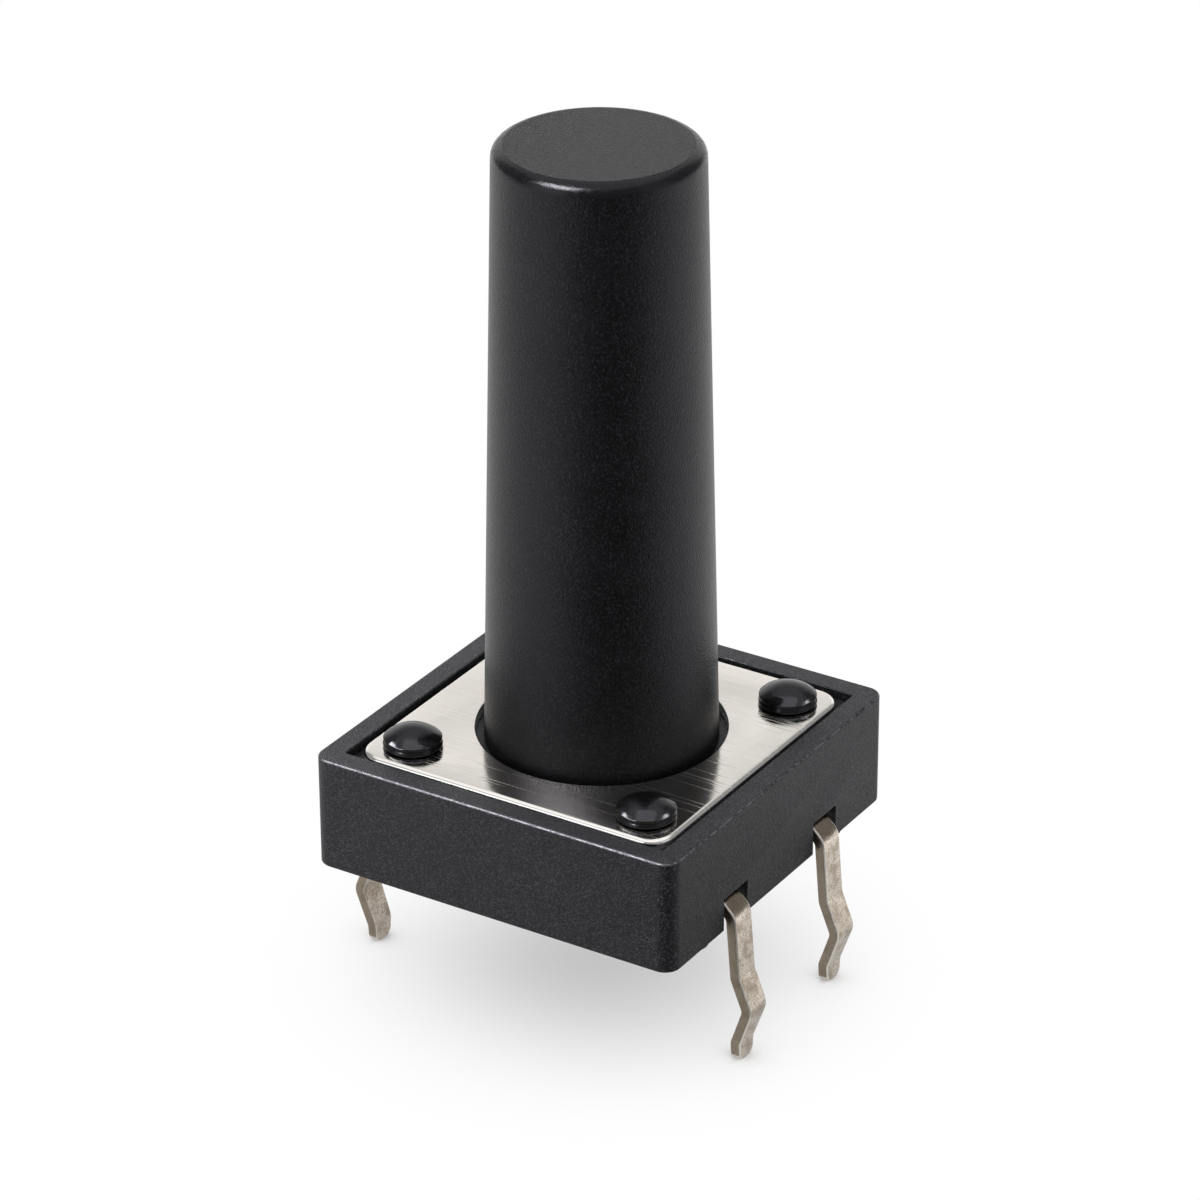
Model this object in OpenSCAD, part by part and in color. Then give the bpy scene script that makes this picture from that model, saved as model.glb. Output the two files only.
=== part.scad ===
// Tactile push button switch, 12 mm square, for a circuit board with plated holes.
// Z is up, z = 0 is the top face of the board, and the origin is the middle of the four pins.
// The pin rows lie at plus and minus X. All sizes are in millimetres.

/* [Housing] */
// Side of the square housing
body_w = 12; // [10:0.1:14]
// Height of the walls, from their lower edge to the rim
body_h = 3.5; // [3.3:0.1:5]
// Radius of the upright corners
body_corner_r = 0.5; // [0.3:0.05:0.8]
// Radius of the small break along the outer top and bottom edges
body_edge_r = 0.08; // [0.04:0.01:0.15]
// Thickness of the rim around the cover plate
rim_w = 0.7; // [0.5:0.05:0.8]
// Height of the feet that keep the walls off the board
foot_h = 0.3; // [0.15:0.05:0.6]
// Radius of each foot
foot_r = 0.45; // [0.3:0.05:0.55]
// Radius of the round edge under each foot
foot_edge_r = 0.12; // [0.05:0.01:0.2]
// Distance from a foot to the outer face of the wall
foot_inset = 0.2; // [0.1:0.05:0.4]
// Distance from a foot to the pin notch beside it
foot_to_notch = 0.15; // [0.05:0.05:0.4]
// Width of the skirt around the shallow recess in the underside
skirt_w = 1.4; // [1.2:0.1:2]
// Depth of the recess in the underside
underside_recess = 0.25; // [0.1:0.05:0.35]

/* [Cover plate] */
// Thickness of the plate
plate_t = 0.3; // [0.2:0.05:0.4]
// Depth of the plate's top face below the rim
plate_drop = 0; // [0:0.02:0.2]
// Gap between the plate and the rim around it
plate_gap = 0.15; // [0.05:0.05:0.3]
// Radius of the plate's corners
plate_corner_r = 0.8; // [0.5:0.05:1.2]
// Radius of the plate's rolled top edge
plate_edge_r = 0.12; // [0.05:0.01:0.15]
// Width of the plate between the stem's hole and the middle of each side
web_w = 1.52; // [1.2:0.02:2]
// Gap between the hole and the stem
hole_gap = 0.24; // [0.2:0.02:0.4]

/* [Staked posts] */
// How far a post stands outside the middle of the web between the stem's hole and the plate's corner
post_shift = 0.25; // [0:0.01:0.3]
// Diameter of a post where it passes through the plate
post_d = 1.1; // [0.8:0.05:1.2]
// Gap between a post and its hole in the plate
post_gap = 0.05; // [0.02:0.01:0.1]
// Diameter of the melted head
head_d = 1.72; // [1.4:0.02:1.9]
// Height of the head's side
head_side_h = 0.28; // [0.2:0.01:0.4]
// Rise of the head's domed top above its side
head_dome_h = 0.34; // [0.2:0.02:0.4]
// Radius of the round edge under the head's side
head_edge_r = 0.07; // [0.03:0.01:0.09]

/* [Plunger] */
// Height of the top of the stem above the board
button_h = 21.75; // [8:0.05:25]
// How much the stem's diameter narrows from its flange to its top
stem_taper = 0.85; // [0.2:0.01:1.2]
// Radius of the stem's top edge
stem_edge_r = 0.36; // [0.1:0.02:0.6]
// How far the flange reaches out past the stem
flange_lip = 0.71; // [0.6:0.01:0.8]
// Running gap under the cover plate when the button is up
flange_gap = 0.02; // [0.01:0.01:0.05]
// Running gap between the flange and the well around it
well_gap = 0.15; // [0.1:0.01:0.2]
// Diameter of the nub that presses on the dome
nub_d = 1.8; // [1.4:0.1:2.4]
// How far the nub stands out below the flange
nub_h = 0.53; // [0.45:0.01:0.7]
// Radius of the nub's round edge
nub_edge_r = 0.2; // [0.1:0.02:0.3]
// Gap between the nub and the dome when the button is up
nub_gap = 0.02; // [0.01:0.01:0.05]

/* [Snap dome] */
// Travel of the button until the dome meets the centre contact
travel = 0.3; // [0.2:0.05:0.35]
// Thickness of the dome
dome_t = 0.08; // [0.06:0.01:0.1]
// Rise of the dome's underside above its edge
dome_rise = 0.4; // [0.36:0.02:0.5]
// Width of the step between the well's wall and the dome's seat
seat_step_w = 0.45; // [0.3:0.05:0.6]
// Gap between the dome's edge and the seat around it
dome_side_gap = 0.1; // [0.05:0.01:0.15]
// Depth of the round seat that keeps the dome centred
dome_seat_depth = 0.45; // [0.3:0.05:0.5]

/* [Terminals] */
// Thickness of the strip
strip_t = 0.32; // [0.25:0.01:0.35]
// Width of the strip and of each pin
pin_w = 0.9; // [0.7:0.05:1]
// Distance between the two pins on one side
pin_pitch = 5; // [4.8:0.1:5.4]
// Distance from the wall to the middle of a pin's thickness at its tip
pin_out = 0.25; // [0.2:0.01:0.4]
// Length of the pins below the board's top face
pin_len = 4; // [3:0.1:4.5]
// Height of the strip's underside above the lower edge of the walls
strip_up = 0.55; // [0.5:0.05:0.7]
// Distance from the wall back to the first bend of the strip
shoulder_in = 0.28; // [0.2:0.02:0.4]
// Distance that the strip drops between its first two bends
shoulder_drop = 0.36; // [0.3:0.02:0.45]
// How far the top of the leg lies inside the line of its tip
leg_in = 0.16; // [0.1:0.02:0.2]
// Depth below the board at which the leg starts its kink
kink_start = 1.3; // [0.6:0.05:1.5]
// Depth below the board of the kink's furthest point
kink_deep = 2.3; // [1.6:0.05:2.6]
// How far the kink stands out past the line of the tip
kink_out = 0.4; // [0.2:0.01:0.5]
// Length of the straight tip below the kink
tip_straight = 0.55; // [0.5:0.05:0.8]
// Radius of every bend, at the middle of the thickness
bend_r = 0.4; // [0.25:0.05:0.5]
// Width of the pin at its end
tip_w = 0.76; // [0.6:0.02:0.8]
// Length over which the pin narrows to its end
tip_taper = 1; // [0.7:0.1:1.2]
// Radius of the two corners of the pin's end
tip_corner_r = 0.26; // [0.15:0.01:0.28]
// Gap on each side of the strip in its notch
notch_side = 0.2; // [0.1:0.05:0.3]
// Gap above the strip in its notch
notch_top = 0.19; // [0.1:0.01:0.3]
// Depth of the notch from the wall's outer face
notch_depth = 0.9; // [0.8:0.05:1.1]
// Width of the arms that carry two of the outer contacts
arm_w = 0.8; // [0.7:0.05:0.9]
// Angle of those two contacts, seen from the middle of the dome
arm_angle = 22; // [18:1:23]
// Diameter of each outer contact
outer_bump_d = 0.6; // [0.5:0.02:0.68]
// Diameter of the centre contact
centre_bump_d = 0.85; // [0.6:0.05:0.85]
// Distance from the dome's edge to the middle of an outer contact
bump_inset = 0.12; // [0.1:0.01:0.2]
// Thickness of the plastic over the strips in the floor of the well
floor_skin = 0.2; // [0.15:0.01:0.25]
// How far the outer contacts stand out of that floor
bump_proud = 0.05; // [0.03:0.01:0.1]
// Diameter of the holes left by the mould's support pins
support_hole_d = 0.8; // [0.6:0.05:0.85]
// Distance between the two support holes under one strip
support_pitch = 3.4; // [3:0.1:4]

/* [Hidden] */

$fn = 96;
// A flat arc, such as the dome's, needs more steps to stay true
flat_arc_fn = 720;
// Steps along each bend of the strip
bend_steps = 8;
// Cuts reach this far past the faces that they open
over = 1;

// Heights from the board up
wall_low_z = foot_h;
rim_z = foot_h + body_h;
plate_top_z = rim_z - plate_drop;
ledge_z = plate_top_z - plate_t;
strip_z = wall_low_z + strip_up;
strip_mid_z = strip_z + strip_t / 2;
strip_top_z = strip_z + strip_t;
floor_z = strip_top_z + floor_skin;
dome_low_z = floor_z + bump_proud;
dome_top_z = dome_low_z + dome_rise + dome_t;
centre_bump_top_z = dome_low_z + dome_rise - travel;
seat_top_z = floor_z + dome_seat_depth;
nub_low_z = dome_top_z + nub_gap;
flange_low_z = nub_low_z + nub_h;
flange_top_z = ledge_z - flange_gap;
notch_top_z = strip_top_z + notch_top;

// Places in the plan
body_half = body_w / 2;
pocket_half = body_half - rim_w;
plate_half = pocket_half - plate_gap;
hole_r = plate_half - web_w;
stem_low_r = hole_r - hole_gap;
stem_top_r = stem_low_r - stem_taper / 2;
plate_corner_reach = (plate_half - plate_corner_r) * sqrt(2) + plate_corner_r;
post_at = ((hole_r + plate_corner_reach) / 2 + post_shift) / sqrt(2);
flange_r = stem_low_r + flange_lip;
well_r = flange_r + well_gap;
seat_r = well_r - seat_step_w;
dome_r = seat_r - dome_side_gap;
pin_row = body_half + pin_out;
pin_line = pin_pitch / 2;
notch_w = pin_w + 2 * notch_side;
foot_x = body_half - foot_inset - foot_r;
foot_y = pin_line + notch_w / 2 + foot_to_notch + foot_r;
contact_ring_r = dome_r - bump_inset;
arm_x = contact_ring_r * cos(arm_angle);
arm_y = contact_ring_r * sin(arm_angle);
strip_bump_x = sqrt(pow(contact_ring_r, 2) - pow(pin_line, 2));

// Middle line of half a strip, seen from the side: along the floor, over the shoulder,
// down the leg, out and back in the kink that grips the board, and down to the tip
half_strip = [
    [body_half - shoulder_in, strip_mid_z],
    [pin_row - leg_in, strip_mid_z - shoulder_drop],
    [pin_row, -kink_start],
    [pin_row + kink_out, -kink_deep],
    [pin_row, tip_straight - pin_len],
    [pin_row, -pin_len]
];
half_count = len(half_strip);
whole_strip = [
    for (i = [0 : 2 * half_count - 1])
        i < half_count
            ? [-half_strip[half_count - 1 - i].x, half_strip[half_count - 1 - i].y]
            : half_strip[i - half_count]
];

// Direction from one point to the next, and the direction to its left
function heading(a, b) = (b - a) / norm(b - a);
function left_of(d) = [-d.y, d.x];
function turned(d, a) = [d.x * cos(a) - d.y * sin(a), d.x * sin(a) + d.y * cos(a)];
// Angle of the bend at b, positive to the left
function bend_angle(a, b, c) =
    atan2(cross(heading(a, b), heading(b, c)), heading(a, b) * heading(b, c));
// Points of one face of a bend at b, at a distance beside the middle line
function bend_points(a, b, c, beside) =
    let (
        angle = bend_angle(a, b, c),
        way = sign(angle),
        start = b - heading(a, b) * bend_r * tan(abs(angle) / 2),
        across = left_of(heading(a, b)),
        centre = start + across * way * bend_r
    )
    [
        for (i = [0 : bend_steps])
            centre - turned(across, angle * i / bend_steps) * way * (bend_r - way * beside)
    ];
// One face of a bent strip, from its first end to its last
function strip_face(path, beside) =
    let (last = len(path) - 1)
    concat(
        [path[0] + left_of(heading(path[0], path[1])) * beside],
        [
            for (i = [1 : last - 1])
                each bend_points(path[i - 1], path[i], path[i + 1], beside)
        ],
        [path[last] + left_of(heading(path[last - 1], path[last])) * beside]
    );
function reversed(list) = [for (i = [len(list) - 1 : -1 : 0]) list[i]];

// Copies of a piece in the four quarters of the plan
module each_quarter(x, y) {
    for (side = [-1, 1])
        for (end = [-1, 1])
            translate([side * x, end * y, 0])
                children();
}

module rounded_square(half, corner_r) {
    square([2 * half, 2 * (half - corner_r)], center = true);
    square([2 * (half - corner_r), 2 * half], center = true);
    each_quarter(half - corner_r, half - corner_r)
        circle(corner_r);
}

// What a quarter-round takes off an edge, with the edge's corner at x = 0, y = 0
module edge_waste(edge_r) {
    difference() {
        translate([-edge_r, -edge_r])
            square(edge_r + over);
        translate([-edge_r, -edge_r])
            circle(edge_r);
    }
}

// Rounds the upper outer edge of a rounded square plate whose top is at z = 0
module rounded_rim_cut(half, corner_r, edge_r) {
    run = 2 * (half - corner_r);
    for (quarter = [0 : 3])
        rotate([0, 0, 90 * quarter]) {
            translate([half, run / 2, 0])
                rotate([90, 0, 0])
                    linear_extrude(run)
                        edge_waste(edge_r);
            translate([run / 2, run / 2, 0])
                rotate_extrude(angle = 90)
                    translate([corner_r, 0])
                        edge_waste(edge_r);
        }
}

// Outline of a pin seen along X: parallel sides, a slight taper and a rounded end
module pin_front() {
    polygon([
        [-pin_w / 2, rim_z],
        [-pin_w / 2, tip_taper - pin_len],
        [-tip_w / 2, tip_corner_r - pin_len],
        [-tip_w / 2 + tip_corner_r, -pin_len],
        [tip_w / 2 - tip_corner_r, -pin_len],
        [tip_w / 2, tip_corner_r - pin_len],
        [pin_w / 2, tip_taper - pin_len],
        [pin_w / 2, rim_z]
    ]);
    for (side = [-1, 1])
        translate([side * (tip_w / 2 - tip_corner_r), tip_corner_r - pin_len])
            circle(tip_corner_r);
}

// A strip that crosses the housing and ends in a kinked pin on each side
module pin_strip() {
    intersection() {
        rotate([90, 0, 0])
            linear_extrude(pin_w, center = true)
                polygon(concat(
                    strip_face(whole_strip, strip_t / 2),
                    reversed(strip_face(whole_strip, -strip_t / 2))
                ));
        rotate([90, 0, 90])
            linear_extrude(2 * (pin_row + over), center = true)
                pin_front();
    }
}

// A flat branch of a strip, from y = 0 to its rounded end
module branch(length, width) {
    translate([0, 0, strip_z])
        linear_extrude(strip_t) {
            translate([-width / 2, 0])
                square([width, length - width / 2]);
            translate([0, length - width / 2])
                circle(width / 2);
        }
}

// A contact pressed up out of the strip
module contact_bump(diameter, top_z) {
    translate([0, 0, strip_z])
        cylinder(h = top_z - strip_z, d = diameter);
}

module outer_terminal() {
    color("#b8ad9c") {
        translate([0, -pin_line, 0])
            pin_strip();
        for (side = [-1, 1]) {
            translate([side * arm_x, -pin_line, 0])
                branch(pin_line + arm_y + arm_w / 2, arm_w);
            translate([side * arm_x, arm_y, 0])
                contact_bump(outer_bump_d, dome_low_z);
            translate([side * strip_bump_x, -pin_line, 0])
                contact_bump(outer_bump_d, dome_low_z);
        }
    }
}

module centre_terminal() {
    color("#b8ad9c") {
        translate([0, pin_line, 0]) {
            pin_strip();
            rotate([0, 0, 180])
                branch(pin_line + pin_w / 2, pin_w);
        }
        contact_bump(centre_bump_d, centre_bump_top_z);
    }
}

// Half section of a round bar on the middle line, with its lower edge rounded
module eased_bar(radius, height, edge_r) {
    square([radius - edge_r, height]);
    translate([0, edge_r])
        square([radius, height - edge_r]);
    translate([radius - edge_r, edge_r])
        circle(edge_r);
}

// Post through the plate, with the head that was melted over it
module staked_post() {
    head_r = head_d / 2;
    cap_r = (pow(head_r, 2) + pow(head_dome_h, 2)) / (2 * head_dome_h);
    translate([0, 0, ledge_z])
        cylinder(h = plate_t, d = post_d);
    translate([0, 0, plate_top_z])
        rotate_extrude() {
            eased_bar(head_r, head_side_h, head_edge_r);
            translate([0, head_side_h])
                intersection() {
                    square([head_r, head_dome_h]);
                    translate([0, head_dome_h - cap_r])
                        circle(cap_r, $fn = flat_arc_fn);
                }
        }
}

module base() {
    color("#2f2f32") {
        difference() {
            union() {
                translate([0, 0, wall_low_z])
                    linear_extrude(body_h)
                        rounded_square(body_half, body_corner_r);
                each_quarter(foot_x, foot_y)
                    rotate_extrude()
                        eased_bar(foot_r, wall_low_z + underside_recess, foot_edge_r);
            }
            translate([0, 0, rim_z])
                rounded_rim_cut(body_half, body_corner_r, body_edge_r);
            translate([0, 0, wall_low_z])
                mirror([0, 0, 1])
                    rounded_rim_cut(body_half, body_corner_r, body_edge_r);
            // Pocket for the cover plate
            translate([-pocket_half, -pocket_half, ledge_z])
                cube([2 * pocket_half, 2 * pocket_half, body_h]);
            // Well for the flange, and the round seat of the dome in its floor
            translate([0, 0, seat_top_z])
                cylinder(h = body_h, r = well_r);
            translate([0, 0, floor_z])
                cylinder(h = body_h, r = seat_r);
            // Notches where the strips come out
            each_quarter(body_half, pin_line)
                translate([-notch_depth, -notch_w / 2, wall_low_z - over])
                    cube([2 * notch_depth, notch_w, notch_top_z - wall_low_z + over]);
            // Recess in the underside, and the holes left by the mould's support pins
            translate([skirt_w - body_half, skirt_w - body_half, wall_low_z - over])
                cube([2 * (body_half - skirt_w), 2 * (body_half - skirt_w), underside_recess + over]);
            each_quarter(support_pitch / 2, pin_line)
                cylinder(h = strip_z, d = support_hole_d);
            // The strips are moulded in
            outer_terminal();
            centre_terminal();
        }
        each_quarter(post_at, post_at)
            staked_post();
    }
}

module cover_plate() {
    color("#dcd8d0")
        difference() {
            translate([0, 0, ledge_z])
                linear_extrude(plate_t)
                    rounded_square(plate_half, plate_corner_r);
            translate([0, 0, plate_top_z])
                rounded_rim_cut(plate_half, plate_corner_r, plate_edge_r);
            translate([0, 0, ledge_z - over])
                cylinder(h = plate_t + 2 * over, r = hole_r);
            each_quarter(post_at, post_at)
                translate([0, 0, ledge_z - over])
                    cylinder(h = plate_t + 2 * over, r = post_d / 2 + post_gap);
        }
}

module plunger() {
    taper = atan2(stem_low_r - stem_top_r, button_h - flange_top_z);
    edge_z = button_h - stem_edge_r;
    side_x = stem_top_r + (button_h - edge_z) * tan(taper);
    edge_x = side_x - stem_edge_r / cos(taper);
    color("#28282a")
        rotate_extrude() {
            translate([0, nub_low_z])
                eased_bar(nub_d / 2, flange_top_z - nub_low_z, nub_edge_r);
            polygon([
                [0, flange_low_z],
                [flange_r, flange_low_z],
                [flange_r, flange_top_z],
                [stem_low_r, flange_top_z],
                [edge_x + stem_edge_r * cos(taper), edge_z + stem_edge_r * sin(taper)],
                [edge_x, button_h],
                [0, button_h]
            ]);
            translate([edge_x, edge_z])
                circle(stem_edge_r);
        }
}

module contact_dome() {
    curve_r = (pow(dome_r, 2) + pow(dome_rise, 2)) / (2 * dome_rise);
    color("#c9c6c0")
        translate([0, 0, dome_low_z])
            rotate_extrude()
                intersection() {
                    square([dome_r, dome_rise + dome_t]);
                    translate([0, dome_rise - curve_r])
                        difference() {
                            circle(curve_r + dome_t, $fn = flat_arc_fn);
                            circle(curve_r, $fn = flat_arc_fn);
                        }
                }
}

base();
cover_plate();
plunger();
contact_dome();
outer_terminal();
centre_terminal();
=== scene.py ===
import math

import bmesh
import bpy
from mathutils import Matrix, Vector


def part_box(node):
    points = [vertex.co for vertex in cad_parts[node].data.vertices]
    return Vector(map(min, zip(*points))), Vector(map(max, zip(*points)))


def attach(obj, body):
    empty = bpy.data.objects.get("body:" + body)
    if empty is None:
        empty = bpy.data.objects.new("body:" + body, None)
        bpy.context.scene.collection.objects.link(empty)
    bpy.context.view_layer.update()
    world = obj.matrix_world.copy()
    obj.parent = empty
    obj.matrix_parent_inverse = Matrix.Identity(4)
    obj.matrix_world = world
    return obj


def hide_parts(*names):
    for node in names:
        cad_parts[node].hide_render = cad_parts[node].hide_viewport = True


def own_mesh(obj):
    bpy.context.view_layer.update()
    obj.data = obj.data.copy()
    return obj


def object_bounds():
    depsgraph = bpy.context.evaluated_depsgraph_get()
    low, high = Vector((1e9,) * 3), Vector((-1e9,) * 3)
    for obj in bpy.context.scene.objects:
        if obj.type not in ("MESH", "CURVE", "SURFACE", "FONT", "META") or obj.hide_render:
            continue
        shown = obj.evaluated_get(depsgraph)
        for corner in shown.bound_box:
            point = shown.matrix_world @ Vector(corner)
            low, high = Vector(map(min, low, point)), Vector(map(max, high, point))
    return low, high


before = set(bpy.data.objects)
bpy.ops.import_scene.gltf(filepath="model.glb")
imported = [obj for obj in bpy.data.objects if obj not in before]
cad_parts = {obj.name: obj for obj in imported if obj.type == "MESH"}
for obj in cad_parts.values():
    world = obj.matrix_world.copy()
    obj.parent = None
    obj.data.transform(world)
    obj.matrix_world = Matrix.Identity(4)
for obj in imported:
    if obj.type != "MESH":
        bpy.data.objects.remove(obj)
cad_bounds = [list(corner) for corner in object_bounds()]
scene = bpy.context.scene


# Terminals
# Two strips of brass, blanked and plated with tin. The housing is moulded around them, with their
# raised contacts under the dome. Outside its walls they are bent down, so that each strip ends in
# two kinked pins.

MM = 0.001
strip_t = 0.32 * MM
pin_w = 0.9 * MM
pin_line = 2.5 * MM
pin_len = -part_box("outer_terminal")[0].z
pin_row = 6.25 * MM
strip_z = 1.01 * MM
bend_r = 0.4 * MM
bend_steps = 14
shoulder_start_x = 5.72 * MM
shoulder_end = (6.09 * MM, 0.65 * MM)
kink_start_z = -1.3 * MM
kink_out = (6.65 * MM, -2.3 * MM)
tip_straight = 0.55 * MM
tip_w = 0.76 * MM
tip_taper = 1.0 * MM
tip_corner_r = 0.26 * MM
# The punch rounds the edges of the outer face, and leaves those of the inner face crisp
rolled_edge_r = 0.07 * MM
crisp_edge_r = 0.025 * MM

# Middle line of half a strip, from inside the wall out over the shoulder and down to the tip
half_strip = [
    Vector((shoulder_start_x, strip_z)),
    Vector(shoulder_end),
    Vector((pin_row, kink_start_z)),
    Vector(kink_out),
    Vector((pin_row, tip_straight - pin_len)),
    Vector((pin_row, -pin_len)),
]


def left_of(way):
    """The direction to the left of another."""
    return Vector((-way.y, way.x))


def bent_line(knees):
    """Points along a line whose knees are rounded to the bend radius, each with its direction."""
    line = []
    for before, knee, after in zip(knees, knees[1:], knees[2:]):
        way = (knee - before).normalized()
        way_out = (after - knee).normalized()
        turn = math.atan2(way.cross(way_out), way.dot(way_out))
        side = math.copysign(bend_r, turn)
        start = knee - way * bend_r * math.tan(abs(turn) / 2)
        centre = start + left_of(way) * side
        for step in range(bend_steps + 1):
            turned = Matrix.Rotation(turn * step / bend_steps, 2)
            line.append((centre - turned @ left_of(way) * side, turned @ way))
    return line


def rounded_corner(at, radius, first, last, steps=8):
    """Points of a section around a rounded corner, between two angles in degrees."""
    angles = [math.radians(first + (last - first) * step / steps) for step in range(steps + 1)]
    return [(at[0] + radius * math.cos(a), at[1] + radius * math.sin(a)) for a in angles]


def strip_section(half_w, half_t):
    """The strip cut across: a flat bar with its outer edges rounded by the punch."""
    most_rounding = 0.9 * min(half_w, half_t)
    points = []
    for side_w, side_t, edge_r, first in (
        (1, 1, rolled_edge_r, 0),
        (-1, 1, rolled_edge_r, 90),
        (-1, -1, crisp_edge_r, 180),
        (1, -1, crisp_edge_r, 270),
    ):
        edge_r = min(edge_r, most_rounding)
        middle = (side_w * (half_w - edge_r), side_t * (half_t - edge_r))
        points += rounded_corner(middle, edge_r, first, first + 90, steps=5)
    return points


def pin_half_width(height):
    """Half the pin's width at a height above its tip: a rounded end, then a slight taper."""
    if height < tip_corner_r:
        inside = tip_corner_r - height
        return tip_w / 2 - tip_corner_r + math.sqrt(tip_corner_r**2 - inside**2)
    share = min((height - tip_corner_r) / (tip_taper - tip_corner_r), 1)
    return (tip_w + (pin_w - tip_w) * share) / 2


def tip_stations():
    """Heights above the tip where the pin is cut across, close together around its rounded end."""
    end_steps = 10
    heights = [
        tip_corner_r * (1 - math.cos(math.radians(90 * step / end_steps)))
        for step in range(end_steps + 1)
    ]
    return heights + [0.4 * tip_taper]


def skin(shape, rings):
    """Covers a row of rings with faces and closes both ends. A ring of one point is a pole."""
    loops = [[shape.verts.new(point) for point in ring] for ring in rings]
    for lower, upper in zip(loops, loops[1:]):
        for this in range(max(len(lower), len(upper))):
            after = this + 1
            corners = [
                lower[this % len(lower)],
                lower[after % len(lower)],
                upper[after % len(upper)],
                upper[this % len(upper)],
            ]
            corners = [c for at, c in enumerate(corners) if c not in corners[:at]]
            shape.faces.new(corners)
    for loop in (loops[0], loops[-1]):
        if len(loop) > 2:
            shape.faces.new(loop)


def pin_strip(shape, y):
    """A strip that crosses the housing and ends in a kinked pin on each side."""
    mirrored = [Vector((-knee.x, knee.y)) for knee in reversed(half_strip)]
    down = Vector((0, -1))
    heights = tip_stations()
    line = [(Vector((-pin_row, height - pin_len)), -down) for height in heights]
    line += bent_line(mirrored + half_strip)
    line += [(Vector((pin_row, height - pin_len)), down) for height in reversed(heights)]
    rings = []
    for point, way in line:
        half_w = pin_half_width(point.y + pin_len)
        out = left_of(way)
        rings.append(
            [
                Vector((point.x + out.x * b, y + a, point.y + out.y * b))
                for a, b in strip_section(half_w, strip_t / 2)
            ]
        )
    skin(shape, rings)


def ring_of(radius, z, steps, at=(0, 0)):
    """Points of a level circle, or one point where the radius is nothing."""
    if radius == 0:
        return [Vector((at[0], at[1], z))]
    turns = [math.tau * step / steps for step in range(steps)]
    return [
        Vector((at[0] + radius * math.cos(t), at[1] + radius * math.sin(t), z)) for t in turns
    ]


def turned_piece(shape, profile, steps, at=(0, 0)):
    """A round piece from its half section, a list of radius and height."""
    skin(shape, [ring_of(radius, z, steps, at) for radius, z in profile])


def strip_branch(shape, x, y_from, y_to, width):
    """A flat branch of a strip, from its root to its rounded end."""
    end_steps = 16
    way = math.copysign(1, y_to - y_from)
    end_y = y_to - way * width / 2
    half_t = strip_t / 2
    rings = []
    for inset, z in (
        (crisp_edge_r, strip_z - half_t),
        (0, strip_z - half_t + crisp_edge_r),
        (0, strip_z + half_t - rolled_edge_r),
        (rolled_edge_r, strip_z + half_t),
    ):
        reach = width / 2 - inset
        ring = [Vector((x - reach, y_from, z)), Vector((x + reach, y_from, z))]
        for step in range(end_steps + 1):
            angle = math.pi * step / end_steps
            ring.append(
                Vector((x + reach * math.cos(angle), end_y + way * reach * math.sin(angle), z))
            )
        rings.append(ring)
    skin(shape, rings)


def raised_contact(shape, diameter, top_z, at):
    """A contact pressed up out of the strip, with a slightly crowned top."""
    edge_r = 0.08 * MM
    crown = 0.02 * MM
    round_steps = 48
    radius = diameter / 2
    profile = [(0, strip_z), (radius, strip_z)]
    profile += rounded_corner((radius - edge_r, top_z - crown - edge_r), edge_r, 0, 80)
    profile += [(radius / 2, top_z - crown / 3), (0, top_z)]
    turned_piece(shape, profile, round_steps, at)


def finished(name, shape, material, sharp=40):
    """Turns a shape into a piece of that name, smooth up to an edge of that many degrees."""
    same_place = 1e-8
    bmesh.ops.remove_doubles(shape, verts=shape.verts, dist=same_place)
    bmesh.ops.recalc_face_normals(shape, faces=shape.faces)
    mesh = bpy.data.meshes.new(name)
    shape.to_mesh(mesh)
    shape.free()
    mesh.polygons.foreach_set("use_smooth", [True] * len(mesh.polygons))
    mesh.set_sharp_from_angle(angle=math.radians(sharp))
    mesh.materials.append(material)
    piece = bpy.data.objects.new(name, mesh)
    scene.collection.objects.link(piece)
    return piece


def place_node(tree, kind, inputs=None, **settings):
    """Adds a node, sets it up, and gives each input its value or joins it to another node."""
    node = tree.nodes.new(kind)
    for name, value in settings.items():
        setattr(node, name, value)
    for name, value in (inputs or {}).items():
        if isinstance(value, bpy.types.NodeSocket):
            tree.links.new(value, node.inputs[name])
        else:
            node.inputs[name].default_value = value
    return node


def sums(tree, operation, first, second=0.0):
    """One step of arithmetic in a node tree."""
    step = place_node(tree, "ShaderNodeMath", {0: first, 1: second}, operation=operation)
    return step.outputs[0]


def adding(tree, start, *shares):
    """A starting value, plus each pattern times its share."""
    for pattern, share in shares:
        step = place_node(
            tree, "ShaderNodeMath", {0: pattern, 1: share, 2: start}, operation="MULTIPLY_ADD"
        )
        start = step.outputs[0]
    return start


def axes_of(tree, kind):
    """The X, Y and Z of a texture coordinate, such as Object or Normal."""
    coordinate = place_node(tree, "ShaderNodeTexCoord").outputs[kind]
    return place_node(tree, "ShaderNodeSeparateXYZ", {0: coordinate}).outputs


def between(tree, value, low, high, to_low=0.0, to_high=1.0):
    """Maps a value from one range to another, with soft ends."""
    node = place_node(
        tree,
        "ShaderNodeMapRange",
        {"Value": value, "From Min": low, "From Max": high, "To Min": to_low, "To Max": to_high},
        interpolation_type="SMOOTHSTEP",
    )
    return node.outputs["Result"]


def blended(tree, share, first, second):
    """A colour between two others."""
    node = place_node(tree, "ShaderNodeMix", {"Factor": share}, data_type="RGBA")
    for socket, colour in zip((node.inputs[6], node.inputs[7]), (first, second)):
        if isinstance(colour, bpy.types.NodeSocket):
            tree.links.new(colour, socket)
        else:
            socket.default_value = (*colour, 1)
    return node.outputs[2]


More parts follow.
